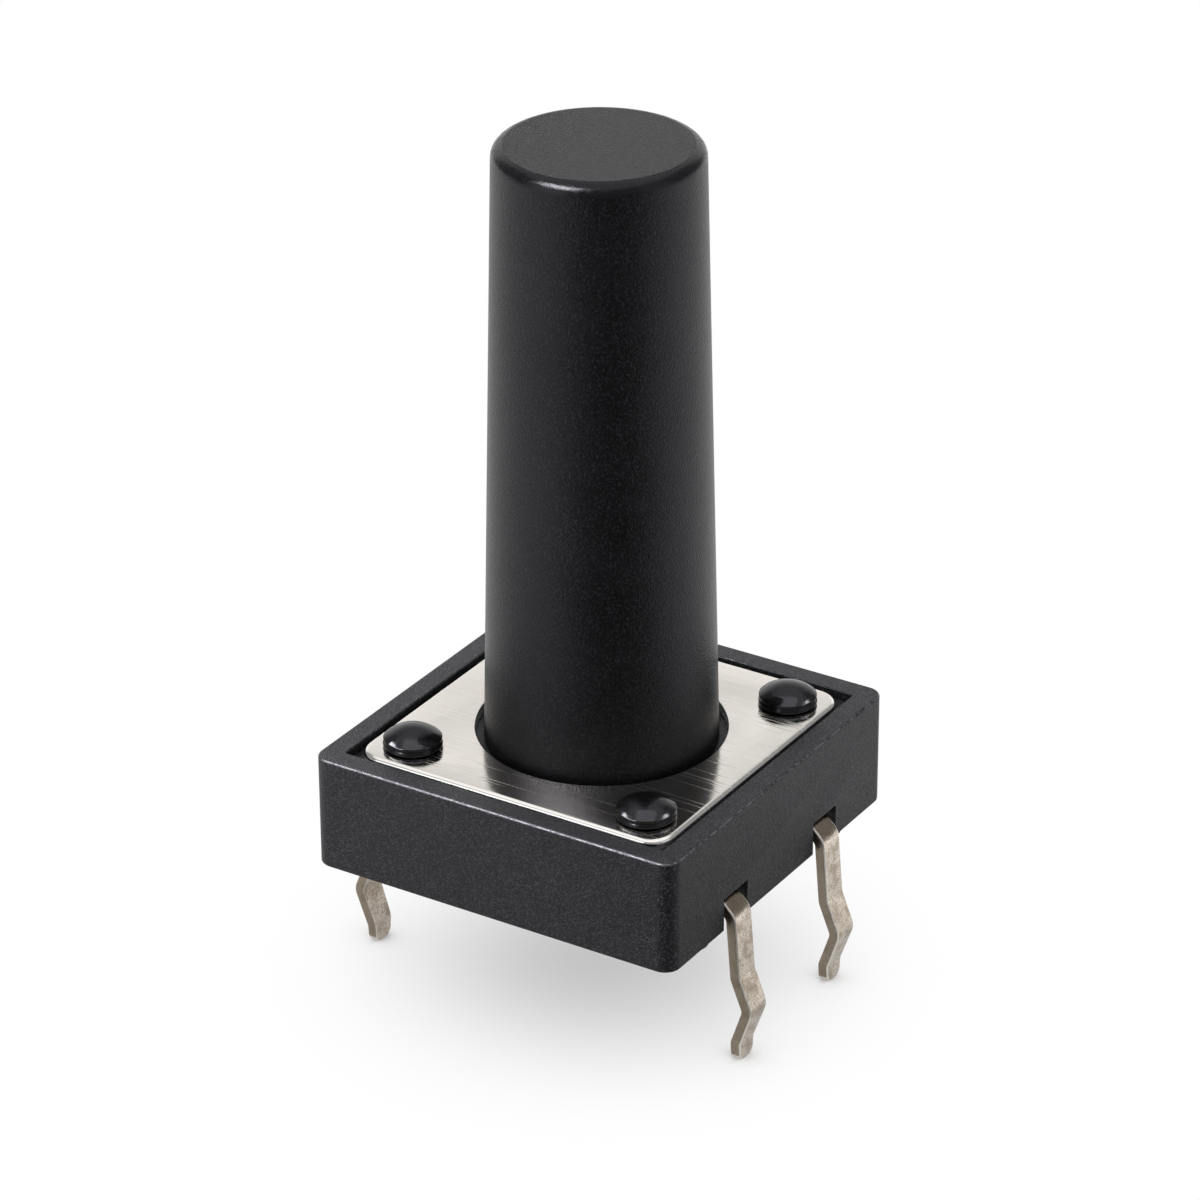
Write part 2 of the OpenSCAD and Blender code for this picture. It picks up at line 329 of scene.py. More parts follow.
def effect(name, inputs, outputs):
    """An empty node group for an effect on the finishes, with its two end nodes."""
    group = bpy.data.node_groups.new(name, "ShaderNodeTree")
    for label, value in inputs.items():
        group.interface.new_socket(
            label, in_out="INPUT", socket_type="NodeSocketFloat"
        ).default_value = value
    for label in outputs:
        group.interface.new_socket(label, in_out="OUTPUT", socket_type="NodeSocketFloat")
    return group, group.nodes.new("NodeGroupInput"), group.nodes.new("NodeGroupOutput")


def patches(tree, size, detail=2.0):
    """Soft random patches of that size, in metres."""
    where = place_node(tree, "ShaderNodeTexCoord").outputs["Object"]
    scale = sums(tree, "DIVIDE", 1.0, size)
    node = place_node(
        tree, "ShaderNodeTexNoise", {"Vector": where, "Scale": scale, "Detail": detail}
    )
    return node.outputs["Fac"]


# Fine parallel scratches that rolling leaves on sheet metal, with a few deep ones among them
waver_size = 3 * MM
waver_reach = 0.05 * MM
rolling, given, result = effect(
    "rolling_scratches", {"Line width": 0.03 * MM, "Line length": 4 * MM}, ["Lines", "Deep lines"]
)
axes = axes_of(rolling, "Object")
waver = patches(rolling, waver_size)
along = sums(rolling, "DIVIDE", axes["X"], given.outputs["Line length"])
wavering = adding(rolling, axes["Y"], (waver, waver_reach))
across = sums(rolling, "DIVIDE", wavering, given.outputs["Line width"])
stretched = place_node(
    rolling, "ShaderNodeCombineXYZ", {"X": along, "Y": across, "Z": axes["Z"]}
).outputs[0]
lines = place_node(
    rolling, "ShaderNodeTexNoise", {"Vector": stretched, "Scale": 1.0, "Detail": 3.0}
).outputs["Fac"]
sparse = place_node(
    rolling, "ShaderNodeTexNoise", {"Vector": stretched, "Scale": 0.55, "Detail": 0.0}
).outputs["Fac"]
rolling.links.new(lines, result.inputs["Lines"])
rolling.links.new(between(rolling, sparse, 0.62, 0.7), result.inputs["Deep lines"])


def new_finish(name):
    """A material with its shader ready, and the tree that its nodes go into."""
    material = bpy.data.materials.new(name)
    material.use_nodes = True
    return material, material.node_tree, material.node_tree.nodes["Principled BSDF"]


def give_bump(tree, shader, height, depth):
    """Raises the surface by a height pattern, up to a depth in metres."""
    bump = place_node(
        tree, "ShaderNodeBump", {"Height": height, "Strength": 1.0, "Distance": depth}
    )
    tree.links.new(bump.outputs["Normal"], shader.inputs["Normal"])


# Dull tin plate, stained in patches and speckled. The sheared sides show bare brass, and their
# dark colour is partly painted shade; the upward faces of the bent shoulders get the same dark
# colour as painted shade. The rounded edges beside the sheared sides are burred and rough, and
# carry a painted highlight.
stain_size = 0.45 * MM
speck_size = 0.05 * MM
speck_relief = 0.008 * MM
clean_tin = (0.80, 0.71, 0.61)
stained_tin = (0.48, 0.40, 0.315)
dark_speck = (0.28, 0.225, 0.17)
bare_brass_and_shade = (0.27, 0.215, 0.155)
painted_edge_highlight = (0.97, 0.93, 0.87)

tin, tree, shader = new_finish("plated_brass")
stains = patches(tree, stain_size, 4.0)
specks = patches(tree, speck_size, 4.0)
facing = axes_of(tree, "Normal")
sideways = sums(tree, "ABSOLUTE", facing["Y"])
# Sheared sides show bare brass; its dark colour there is partly painted shade
sheared = between(tree, sideways, 0.6, 0.9)
# Upward faces of the shoulders get the same dark colour, as painted shade
painted_shoulder_shade = between(tree, facing["Z"], 0.25, 0.75)
# Rounded edges beside the sheared sides are rough, and get a painted highlight in the colour
edge_burrs_and_highlight = sums(
    tree, "MULTIPLY", between(tree, sideways, 0.2, 0.4), between(tree, sideways, 0.97, 0.85)
)
bare_and_painted_shade = sums(tree, "MULTIPLY", sums(tree, "MAXIMUM", sheared, painted_shoulder_shade), 0.75)
colour = blended(tree, between(tree, stains, 0.4, 0.68), clean_tin, stained_tin)
colour = blended(tree, between(tree, specks, 0.48, 0.72), colour, dark_speck)
colour = blended(tree, bare_and_painted_shade, colour, bare_brass_and_shade)
colour = blended(tree, edge_burrs_and_highlight, colour, painted_edge_highlight)
tree.links.new(colour, shader.inputs["Base Color"])
shader.inputs["Metallic"].default_value = 1.0
rough = adding(tree, 0.08, (specks, 0.22), (sheared, 0.12), (edge_burrs_and_highlight, 0.25))
tree.links.new(rough, shader.inputs["Roughness"])
give_bump(tree, shader, specks, speck_relief)

contact_ring_r = 3.58 * MM
arm_angle = math.radians(22)
arm_x = contact_ring_r * math.cos(arm_angle)
arm_y = contact_ring_r * math.sin(arm_angle)
arm_w = 0.8 * MM
strip_contact_x = math.sqrt(contact_ring_r**2 - pin_line**2)
outer_contact_d = 0.6 * MM
centre_contact_d = 0.85 * MM
outer_top_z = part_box("contact_dome")[0].z
centre_top_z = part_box("centre_terminal")[1].z

shape = bmesh.new()
pin_strip(shape, -pin_line)
for side in (-1, 1):
    strip_branch(shape, side * arm_x, -pin_line, arm_y + arm_w / 2, arm_w)
    raised_contact(shape, outer_contact_d, outer_top_z, (side * arm_x, arm_y))
    raised_contact(shape, outer_contact_d, outer_top_z, (side * strip_contact_x, -pin_line))
outer_terminal = finished("outer_strip", shape, tin)
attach(outer_terminal, "housing")
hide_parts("outer_terminal")

shape = bmesh.new()
pin_strip(shape, pin_line)
strip_branch(shape, 0, pin_line, -pin_w / 2, pin_w)
raised_contact(shape, centre_contact_d, centre_top_z, (0, 0))
centre_terminal = finished("centre_strip", shape, tin)
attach(centre_terminal, "housing")
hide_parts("centre_terminal")


# Housing
# One black moulding of glass-filled nylon: walls, rim, the square pocket for the plate, the round
# well for the button's flange, the seat of the dome, four feet and four posts. It is moulded
# around the strips, and a notch in the wall lets each pin out.

low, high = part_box("base")
body_half = high.x
foot_z = low.z
wall_low_z = 0.3 * MM
rim_z = 3.8 * MM
wall_corner_r = 0.5 * MM
wall_edge_r = 0.08 * MM
pocket_half = 5.3 * MM
pocket_corner_r = 0.05 * MM
pocket_edge_r = 0.04 * MM
ledge_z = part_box("cover_plate")[0].z
well_r = 4.25 * MM
well_floor_z = 1.37 * MM
seat_r = 3.8 * MM
seat_top_z = 1.82 * MM
small_edge_r = 0.05 * MM
skirt_inner = 4.6 * MM
recess_z = 0.55 * MM
foot_r = 0.45 * MM
foot_edge_r = 0.12 * MM
foot_at = (5.35 * MM, 3.75 * MM)
support_hole_r = 0.4 * MM
support_hole_at = (1.7 * MM, pin_line)
support_hole_top_z = strip_z - strip_t / 2 + 0.01 * MM
post_r = 0.55 * MM
post_at = 3.91 * MM
post_top_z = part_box("cover_plate")[1].z + 0.05 * MM
notch_w = 1.3 * MM
notch_depth = 0.9 * MM
notch_top_z = 1.36 * MM
circle_steps = 128
small_steps = 48
hole_steps = 40
corner_steps = 12


def square_ring(half, corner_r, z):
    """Points of a level square with rounded corners."""
    ring = []
    for quarter in range(4):
        for step in range(corner_steps + 1):
            angle = math.radians(90 * quarter + 90 * step / corner_steps)
            middle = math.radians(45 + 90 * quarter)
            ring.append(
                Vector(
                    (
                        math.copysign(half - corner_r, math.cos(middle))
                        + corner_r * math.cos(angle),
                        math.copysign(half - corner_r, math.sin(middle))
                        + corner_r * math.sin(angle),
                        z,
                    )
                )
            )
    return ring


def quarters(at):
    """A place and its three mirror images around the middle."""
    return [(side * at[0], end * at[1]) for side in (-1, 1) for end in (-1, 1)]


def wall_of(shape, rings):
    """Joins a row of rings with faces and leaves both ends open. Returns the first and last."""
    loops = [[shape.verts.new(point) for point in ring] for ring in rings]
    for lower, upper in zip(loops, loops[1:]):
        for this in range(len(lower)):
            after = (this + 1) % len(lower)
            shape.faces.new((lower[this], lower[after], upper[after], upper[this]))
    return loops[0], loops[-1]


def level_face(shape, outlines):
    """Fills the level area between an outline and the holes in it."""
    edges = []
    for loop in outlines:
        for this, vert in enumerate(loop):
            after = loop[(this + 1) % len(loop)]
            edges.append(shape.edges.get((vert, after)) or shape.edges.new((vert, after)))
    bmesh.ops.triangle_fill(shape, edges=edges, use_beauty=True, use_dissolve=False)


shape = bmesh.new()
# Outer wall, from the skirt's outer edge up and over the rim, and down the pocket to its ledge
wall_foot = rounded_corner(
    (body_half - wall_edge_r, wall_low_z + wall_edge_r), wall_edge_r, -90, 0
)
wall_head = rounded_corner((body_half - wall_edge_r, rim_z - wall_edge_r), wall_edge_r, 0, 90)
pocket_edge = rounded_corner(
    (pocket_half + pocket_edge_r, rim_z - pocket_edge_r), pocket_edge_r, 90, 180, steps=6
)
rings = [
    square_ring(half, wall_corner_r - (body_half - half), z) for half, z in wall_foot + wall_head
]
rings += [
    square_ring(half, pocket_corner_r + (half - pocket_half), z) for half, z in pocket_edge
]
rings.append(square_ring(pocket_half, pocket_corner_r, ledge_z))
skirt_outline, ledge_outline = wall_of(shape, rings)

# Well and seat, from the ledge down to the floor
well_edge = (well_r + small_edge_r, ledge_z - small_edge_r)
seat_edge = (seat_r + small_edge_r, seat_top_z - small_edge_r)
well_profile = rounded_corner(well_edge, small_edge_r, 90, 180)
well_profile.append((well_r, seat_top_z))
well_profile += rounded_corner(seat_edge, small_edge_r, 90, 180)
well_profile.append((seat_r, well_floor_z))
well_outline, floor_outline = wall_of(
    shape, [ring_of(radius, z, circle_steps) for radius, z in well_profile]
)
shape.faces.new(floor_outline)

post_outlines = []
for at in quarters((post_at, post_at)):
    root, top = wall_of(
        shape, [ring_of(post_r, z, small_steps, at) for z in (ledge_z, post_top_z)]
    )
    shape.faces.new(top)
    post_outlines.append(root)
level_face(shape, [ledge_outline, well_outline] + post_outlines)

# Underside: skirt, feet, the shallow recess and the holes of the mould's support pins
foot_outlines = []
for at in quarters(foot_at):
    profile = [(foot_r, wall_low_z)]
    profile += rounded_corner((foot_r - foot_edge_r, foot_z + foot_edge_r), foot_edge_r, 0, -90)
    root, sole = wall_of(shape, [ring_of(radius, z, small_steps, at) for radius, z in profile])
    shape.faces.new(sole)
    foot_outlines.append(root)
recess_profile = rounded_corner(
    (skirt_inner + small_edge_r, wall_low_z + small_edge_r), small_edge_r, 270, 180, steps=6
)
recess_profile.append((skirt_inner, recess_z))
recess_edge, recess_outline = wall_of(
    shape,
    [square_ring(half, small_edge_r + half - skirt_inner, z) for half, z in recess_profile],
)
level_face(shape, [skirt_outline, recess_edge] + foot_outlines)
hole_outlines = []
for at in quarters(support_hole_at):
    mouth, end = wall_of(
        shape, [ring_of(support_hole_r, z, hole_steps, at) for z in (recess_z, support_hole_top_z)]
    )
    shape.faces.new(end)
    hole_outlines.append(mouth)
level_face(shape, [recess_outline] + hole_outlines)

# Fine spark-eroded grain in relief, light specks painted into the colour as glints of light, and
# clouds where the resin flowed
grain, given, result = effect(
    "moulded_grain",
    {"Grain size": 0.05 * MM, "Glint size": 0.065 * MM, "Cloud size": 1.2 * MM},
    ["Relief", "Painted glints", "Clouds"],
)
glints = patches(grain, given.outputs["Glint size"], 2.0)
grain.links.new(patches(grain, given.outputs["Grain size"], 3.0), result.inputs["Relief"])
grain.links.new(between(grain, glints, 0.49, 0.68), result.inputs["Painted glints"])
grain.links.new(patches(grain, given.outputs["Cloud size"], 3.0), result.inputs["Clouds"])

# Rubbing in patches along upper edges, found where the surface turns from level to upright. The
# patches are shinier, and paler partly as wear and partly as a painted highlight.
rubbing_and_highlight, given, result = effect(
    "edge_rubbing_and_highlight", {"Patch size": 0.12 * MM}, ["Rubbed", "Grain and glints"]
)
facing_up = axes_of(rubbing_and_highlight, "Normal")["Z"]
on_edge = sums(
    rubbing_and_highlight,
    "MULTIPLY",
    between(rubbing_and_highlight, facing_up, 0.25, 0.55),
    between(rubbing_and_highlight, facing_up, 0.96, 0.82),
)
broken = between(rubbing_and_highlight, patches(rubbing_and_highlight, given.outputs["Patch size"], 3.0), 0.4, 0.58)
rubbing_and_highlight.links.new(sums(rubbing_and_highlight, "MULTIPLY", on_edge, broken), result.inputs["Rubbed"])
rubbing_and_highlight.links.new(sums(rubbing_and_highlight, "SUBTRACT", 1.0, on_edge), result.inputs["Grain and glints"])


def moulded_finish(
    name, dark, light, painted_glint_colour, worn_and_highlight, smoothest, relief_depth, rubbed_and_highlight_by, reflection=0.36
):
    """Black plastic from a spark-eroded mould, shinier where its edges are rubbed, and paler there
    partly as wear and partly as a painted highlight.
    """
    material, tree, shader = new_finish(name)
    texture = place_node(tree, "ShaderNodeGroup", node_tree=grain)
    wear_and_highlight = place_node(tree, "ShaderNodeGroup", node_tree=rubbed_and_highlight_by)
    painted_glints = sums(tree, "MULTIPLY", texture.outputs["Painted glints"], wear_and_highlight.outputs["Grain and glints"])
    colour = blended(tree, between(tree, texture.outputs["Clouds"], 0.35, 0.65), dark, light)
    # Light specks painted into the colour stand in for glints of light on the grain
    colour = blended(tree, sums(tree, "MULTIPLY", painted_glints, 0.8), colour, painted_glint_colour)
    # Rubbed patches are paler, partly as wear and partly as a painted highlight
    colour = blended(tree, wear_and_highlight.outputs["Rubbed"], colour, worn_and_highlight)
    tree.links.new(colour, shader.inputs["Base Color"])
    rough = adding(
        tree,
        smoothest,
        (texture.outputs["Relief"], 0.16),
        (wear_and_highlight.outputs["Rubbed"], -0.75 * smoothest),
    )
    tree.links.new(rough, shader.inputs["Roughness"])
    shader.inputs["Specular IOR Level"].default_value = reflection
    shader.inputs["Specular Tint"].default_value = (0.9, 0.9, 1, 1)
    height = sums(tree, "MULTIPLY", texture.outputs["Relief"], wear_and_highlight.outputs["Grain and glints"])
    give_bump(tree, shader, height, relief_depth)
    return material


housing_black = moulded_finish(
    "housing_plastic",
    dark=(0.0003, 0.0003, 0.0004),
    light=(0.002, 0.002, 0.0024),
    painted_glint_colour=(0.038, 0.038, 0.042),
    # The rubbed edges' light grey is partly scuffing and partly a painted highlight along the
    # upper edges
    worn_and_highlight=(0.1, 0.1, 0.108),
    smoothest=0.34,
    relief_depth=0.04 * MM,
    rubbed_and_highlight_by=rubbing_and_highlight,
)
base = finished("housing", shape, housing_black, 32)

cutter = bmesh.new()
for at in quarters((body_half, pin_line)):
    size = Vector((2 * notch_depth, notch_w, 2 * (notch_top_z - wall_low_z)))
    place = Matrix.Translation((at[0], at[1], wall_low_z))
    bmesh.ops.create_cube(cutter, size=1, matrix=place @ Matrix.Diagonal(size).to_4x4())
notches = finished("notch_shapes", cutter, housing_black)
cut = base.modifiers.new("notches", "BOOLEAN")
cut.operation = "DIFFERENCE"
cut.solver = "EXACT"
cut.object = notches
even = base.modifiers.new("even_faces", "WEIGHTED_NORMAL")
even.keep_sharp = True
depsgraph = bpy.context.evaluated_depsgraph_get()
cut_mesh = bpy.data.meshes.new_from_object(base.evaluated_get(depsgraph))
base.modifiers.clear()
base.data = cut_mesh
bpy.data.objects.remove(notches)
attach(base, "housing")
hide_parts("base")


# Snap dome
# A disc of spring steel, pressed into a shallow dome. It lies loose in its seat on the outer
# contacts, and snaps down on the centre contact when the button pushes it.

low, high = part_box("contact_dome")
dome_r = high.x
dome_t = 0.08 * MM
dome_rise = high.z - low.z - dome_t
curve_r = (dome_r**2 + dome_rise**2) / (2 * dome_rise)
curve_z = low.z + dome_rise - curve_r
dome_steps = 24
under_arc = []
for step in range(dome_steps + 1):
    radius = dome_r * step / dome_steps
    under_arc.append((radius, curve_z + math.sqrt(curve_r**2 - radius**2)))
over_arc = [
    (radius, curve_z + math.sqrt((curve_r + dome_t) ** 2 - radius**2)) for radius, z in under_arc
]
shape = bmesh.new()
turned_piece(shape, under_arc + over_arc[::-1], circle_steps)

bright_steel = (0.72, 0.71, 0.69)
grey_steel = (0.6, 0.59, 0.57)
spring_steel, tree, shader = new_finish("dome_steel")
satin = place_node(
    tree, "ShaderNodeGroup", {"Line width": 0.04 * MM, "Line length": 2 * MM}, node_tree=rolling
).outputs["Lines"]
tree.links.new(blended(tree, satin, bright_steel, grey_steel), shader.inputs["Base Color"])
shader.inputs["Metallic"].default_value = 1.0
tree.links.new(adding(tree, 0.18, (satin, 0.2)), shader.inputs["Roughness"])
give_bump(tree, shader, satin, 0.002 * MM)

dome = finished("snap_dome", shape, spring_steel)
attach(dome, "housing")
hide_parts("contact_dome")
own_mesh(dome)


# Button
# One black moulding: a tall tapered stem, a flange that the plate holds down, and a nub under it
# that presses on the dome. It slides in the plate's hole and the housing's well.

low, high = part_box("plunger")
flange_r = high.x
flange_low_z = 2.45 * MM
flange_top_z = 3.48 * MM
nub_r = 0.9 * MM
nub_edge_r = 0.2 * MM
stem_low_r = 3.39 * MM
stem_top_r = 2.965 * MM
stem_edge_r = 0.36 * MM
fine_steps = 256
taper = math.atan2(stem_low_r - stem_top_r, high.z - flange_top_z)
edge_z = high.z - stem_edge_r
edge_x = stem_top_r + stem_edge_r * math.tan(taper) - stem_edge_r / math.cos(taper)
profile = [(0, low.z)]
profile += rounded_corner((nub_r - nub_edge_r, low.z + nub_edge_r), nub_edge_r, -90, 0)
profile += [(nub_r, flange_low_z)]
flange_edge = flange_r - small_edge_r
profile += rounded_corner((flange_edge, flange_low_z + small_edge_r), small_edge_r, -90, 0)
profile += rounded_corner((flange_edge, flange_top_z - small_edge_r), small_edge_r, 0, 90)
profile += [(stem_low_r, flange_top_z)]
profile += rounded_corner((edge_x, edge_z), stem_edge_r, math.degrees(taper), 90, steps=24)
profile += [(edge_x * share, high.z) for share in (0.98, 0.5)]
profile += [(0, high.z)]
shape = bmesh.new()
turned_piece(shape, profile, fine_steps)

# Fingers rub the stem's top edge smooth in patches, and leave little of the grain on the edge. The
# top face gets more grain than the sides, in relief and in painted glints that stand in for light
# from above.
thumbed, given, result = effect(
    "thumbed_edge", {"Patch size": 0.16 * MM}, ["Rubbed", "Grain and glints"]
)
axes = axes_of(thumbed, "Object")
squared = sums(thumbed, "ADD", *[sums(thumbed, "POWER", axes[way], 2.0) for way in ("X", "Y")])
from_axis = sums(thumbed, "SQRT", squared)
past_top = between(thumbed, from_axis, edge_x, edge_x + 0.1 * MM)
past_side = between(thumbed, axes["Z"], edge_z - 0.05 * MM, edge_z + 0.1 * MM)
on_edge = sums(thumbed, "MULTIPLY", past_top, past_side)
on_top = sums(thumbed, "SUBTRACT", past_side, on_edge)
broken = between(thumbed, patches(thumbed, given.outputs["Patch size"], 4.0), 0.3, 0.6)
thumbed.links.new(sums(thumbed, "MULTIPLY", on_edge, broken), result.inputs["Rubbed"])
# The top face gets more painted glints, which stand in for light from above
thumbed.links.new(
    adding(thumbed, 0.5, (on_top, 0.75), (on_edge, -0.4)), result.inputs["Grain and glints"]
)

button_black = moulded_finish(
    "button_plastic",
    dark=(0.0015, 0.0015, 0.0017),
    light=(0.003, 0.003, 0.0034),
    painted_glint_colour=(0.03, 0.03, 0.033),
    worn_and_highlight=(0.006, 0.006, 0.0066),
    smoothest=0.26,
    relief_depth=0.044 * MM,
    rubbed_and_highlight_by=thumbed,
    reflection=0.3,
)
button = finished("button", shape, button_black, 32)
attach(button, "button")
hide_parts("plunger")


# Cover plate
# Nickel-plated steel sheet, punched from above, so that its upper edges are rolled and bright.
# It lies on the housing's ledge and holds the button in.

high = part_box("cover_plate")[1]
plate_half = high.x
plate_top_z = high.z
plate_corner_r = 0.8 * MM
plate_edge_r = 0.17 * MM
hole_r = 3.63 * MM
hole_edge_r = 0.06 * MM
post_hole_r = 0.6 * MM
post_hole_steps = 64
burr_r = 0.02 * MM


def punched_edge(roll_r):
    """Inset and height along a punched edge: crisp below, and rolled above by the punch."""
    rolled = rounded_corner((roll_r, plate_top_z - roll_r), roll_r, 180, 90, steps=12)
    return [(burr_r, ledge_z), (0, ledge_z + burr_r)] + rolled


shape = bmesh.new()
outlines = [
    wall_of(
        shape,
        [
            square_ring(plate_half - inset, plate_corner_r - inset, z)
            for inset, z in punched_edge(plate_edge_r)
        ],
    ),
    wall_of(
        shape,
        [ring_of(hole_r + inset, z, fine_steps) for inset, z in punched_edge(hole_edge_r)],
    ),
]
for at in quarters((post_at, post_at)):
    outlines.append(
        wall_of(
            shape,
            [
                ring_of(post_hole_r + inset, z, post_hole_steps, at)
                for inset, z in punched_edge(burr_r)
            ],
        )
    )
for face in zip(*outlines):
    level_face(shape, face)

# Bright nickel, hazy in places and scratched by rolling, burnished where the punch rolled it over
haze_size = 1.5 * MM
scratch_depth = 0.0025 * MM
clear_nickel = (0.90, 0.86, 0.8)
hazy_nickel = (0.84, 0.80, 0.745)
burnished_nickel = (0.93, 0.91, 0.88)

nickel, tree, shader = new_finish("plated_steel")
brushed = place_node(
    tree, "ShaderNodeGroup", {"Line width": 0.035 * MM, "Line length": 5 * MM}, node_tree=rolling
)
lines = brushed.outputs["Lines"]
deep_lines = brushed.outputs["Deep lines"]
haze = between(tree, patches(tree, haze_size, 3.0), 0.35, 0.7)
burnished = between(tree, axes_of(tree, "Normal")["Z"], 0.99, 0.9)
colour = blended(tree, haze, clear_nickel, hazy_nickel)
colour = blended(tree, burnished, colour, burnished_nickel)
tree.links.new(colour, shader.inputs["Base Color"])
shader.inputs["Metallic"].default_value = 1.0
rough = adding(tree, 0.03, (lines, 0.08), (deep_lines, 0.2))
tree.links.new(rough, shader.inputs["Roughness"])
relief = adding(tree, lines, (deep_lines, -0.6))
flat = sums(tree, "SUBTRACT", 1.0, burnished)
give_bump(tree, shader, sums(tree, "MULTIPLY", relief, flat), scratch_depth)
plate = finished("plate", shape, nickel, 30)
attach(plate, "housing")
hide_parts("cover_plate")


# Post heads
# The housing's four posts come up through the plate, and a hot tool melts each into a round head
# that holds the plate down. No two heads set quite alike.

head_r = 0.86 * MM
head_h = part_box("base")[1].z - plate_top_z
flow_size = 0.9 * MM
flow_seed = 7
# Half section of a head from the middle of its underside to the middle of its top: how far round
# the section, then the radius and the height as shares of the head's own
head_section = [
    (0.00, 0.00, 0.03),
    (0.14, 0.70, 0.03),
    (0.20, 0.93, 0.04),
    (0.25, 0.985, 0.09),
    (0.29, 1.00, 0.15),
    (0.33, 0.985, 0.22),
    (0.37, 0.955, 0.29),
    (0.41, 0.955, 0.35),
    (0.44, 0.98, 0.40),
    (0.47, 0.985, 0.45),
    (0.50, 0.95, 0.50),
    (0.58, 0.82, 0.64),
    (0.70, 0.58, 0.82),
    (0.85, 0.28, 0.955),
    (1.00, 0.00, 1.00),
]
staking = bpy.data.node_groups.new("staked_heads", "GeometryNodeTree")
staking.interface.new_socket("Heads", in_out="OUTPUT", socket_type="NodeSocketGeometry")
head_inputs = {
    "Head radius": head_r,
    "Head height": head_h,
    "Post spacing": 2 * post_at,
    "Plate top": plate_top_z,
    "Melted unevenness": 0.03,
}
for label, value in head_inputs.items():
    staking.interface.new_socket(label, in_out="INPUT", socket_type="NodeSocketFloat")
staking.interface.new_socket("Seed", in_out="INPUT", socket_type="NodeSocketInt")
given = staking.nodes.new("NodeGroupInput")
result = staking.nodes.new("NodeGroupOutput")
ball = place_node(
    staking, "GeometryNodeMeshUVSphere", {"Segments": 96, "Rings": 80, "Radius": 1.0}
).outputs["Mesh"]
position = place_node(staking, "GeometryNodeInputPosition").outputs["Position"]
ball_z = place_node(staking, "ShaderNodeSeparateXYZ", {0: position}).outputs["Z"]
around = sums(staking, "ARCCOSINE", sums(staking, "MULTIPLY", ball_z, -1.0))
share_round = sums(staking, "DIVIDE", around, math.pi)


def section_curve(column):
    """A curve node that holds the radius or the height of the head's section."""
    node = place_node(staking, "ShaderNodeFloatCurve", {"Value": share_round})
    curve = node.mapping.curves[0]
    curve.points[0].location = (head_section[0][0], head_section[0][column])
    curve.points[1].location = (head_section[-1][0], head_section[-1][column])
    for row in head_section[1:-1]:
        curve.points.new(row[0], row[column])
    node.mapping.update()
    return node.outputs["Value"]


sideways = place_node(
    staking, "ShaderNodeVectorMath", {0: position, 1: (1, 1, 0)}, operation="MULTIPLY"
)
outward = place_node(
    staking, "ShaderNodeVectorMath", {0: sideways.outputs[0]}, operation="NORMALIZE"
).outputs[0]
reach = sums(staking, "MULTIPLY", section_curve(1), given.outputs["Head radius"])
level = place_node(
    staking,
    "ShaderNodeCombineXYZ",
    {"Z": sums(staking, "MULTIPLY", section_curve(2), given.outputs["Head height"])},
).outputs[0]
out = place_node(
    staking, "ShaderNodeVectorMath", {0: outward, "Scale": reach}, operation="SCALE"
).outputs[0]
out_and_up = place_node(
    staking, "ShaderNodeVectorMath", {0: out, 1: level}, operation="ADD"
).outputs[0]
one_head = place_node(
    staking, "GeometryNodeSetPosition", {"Geometry": ball, "Position": out_and_up}
).outputs["Geometry"]
corners = place_node(
    staking,
    "GeometryNodeMeshGrid",
    {
        "Size X": given.outputs["Post spacing"],
        "Size Y": given.outputs["Post spacing"],
        "Vertices X": 2,
        "Vertices Y": 2,
    },
).outputs["Mesh"]
on_posts = place_node(
    staking, "GeometryNodeInstanceOnPoints", {"Points": corners, "Instance": one_head}
).outputs["Instances"]
real = place_node(staking, "GeometryNodeRealizeInstances", {"Geometry": on_posts}).outputs[0]
flow = place_node(
    staking,
    "ShaderNodeTexNoise",
    {
        "Vector": position,
        "W": given.outputs["Seed"],
        "Scale": 1 / flow_size,
        "Detail": 2.0,
    },
    noise_dimensions="4D",
).outputs["Color"]
push = place_node(
    staking, "ShaderNodeVectorMath", {0: flow, 1: (0.5, 0.5, 0.5)}, operation="SUBTRACT"
).outputs[0]
level_push = place_node(
    staking, "ShaderNodeVectorMath", {0: push, 1: (1, 1, 0.25)}, operation="MULTIPLY"
).outputs[0]
amount = sums(staking, "MULTIPLY", given.outputs["Melted unevenness"], 2 * head_r)
shifted = place_node(
    staking, "ShaderNodeVectorMath", {0: level_push, "Scale": amount}, operation="SCALE"
).outputs[0]
melted = place_node(
    staking, "GeometryNodeSetPosition", {"Geometry": real, "Offset": shifted}
).outputs["Geometry"]
plate_top = place_node(
    staking, "ShaderNodeCombineXYZ", {"Z": given.outputs["Plate top"]}
).outputs[0]
seated = place_node(
    staking, "GeometryNodeTransform", {"Geometry": melted, "Translation": plate_top}
).outputs["Geometry"]
smooth = place_node(
    staking, "GeometryNodeSetShadeSmooth", {"Geometry": seated}
).outputs["Geometry"]
head_black = moulded_finish(
    "staked_plastic",
    dark=(0.002, 0.002, 0.0022),
    light=(0.003, 0.003, 0.0033),
    painted_glint_colour=(0.01, 0.01, 0.011),
    worn_and_highlight=(0.007, 0.007, 0.0077),
    smoothest=0.12,
    relief_depth=0.003 * MM,
    rubbed_and_highlight_by=rubbing_and_highlight,
)
painted = place_node(
    staking, "GeometryNodeSetMaterial", {"Geometry": smooth, "Material": head_black}
).outputs["Geometry"]
staking.links.new(painted, result.inputs["Heads"])

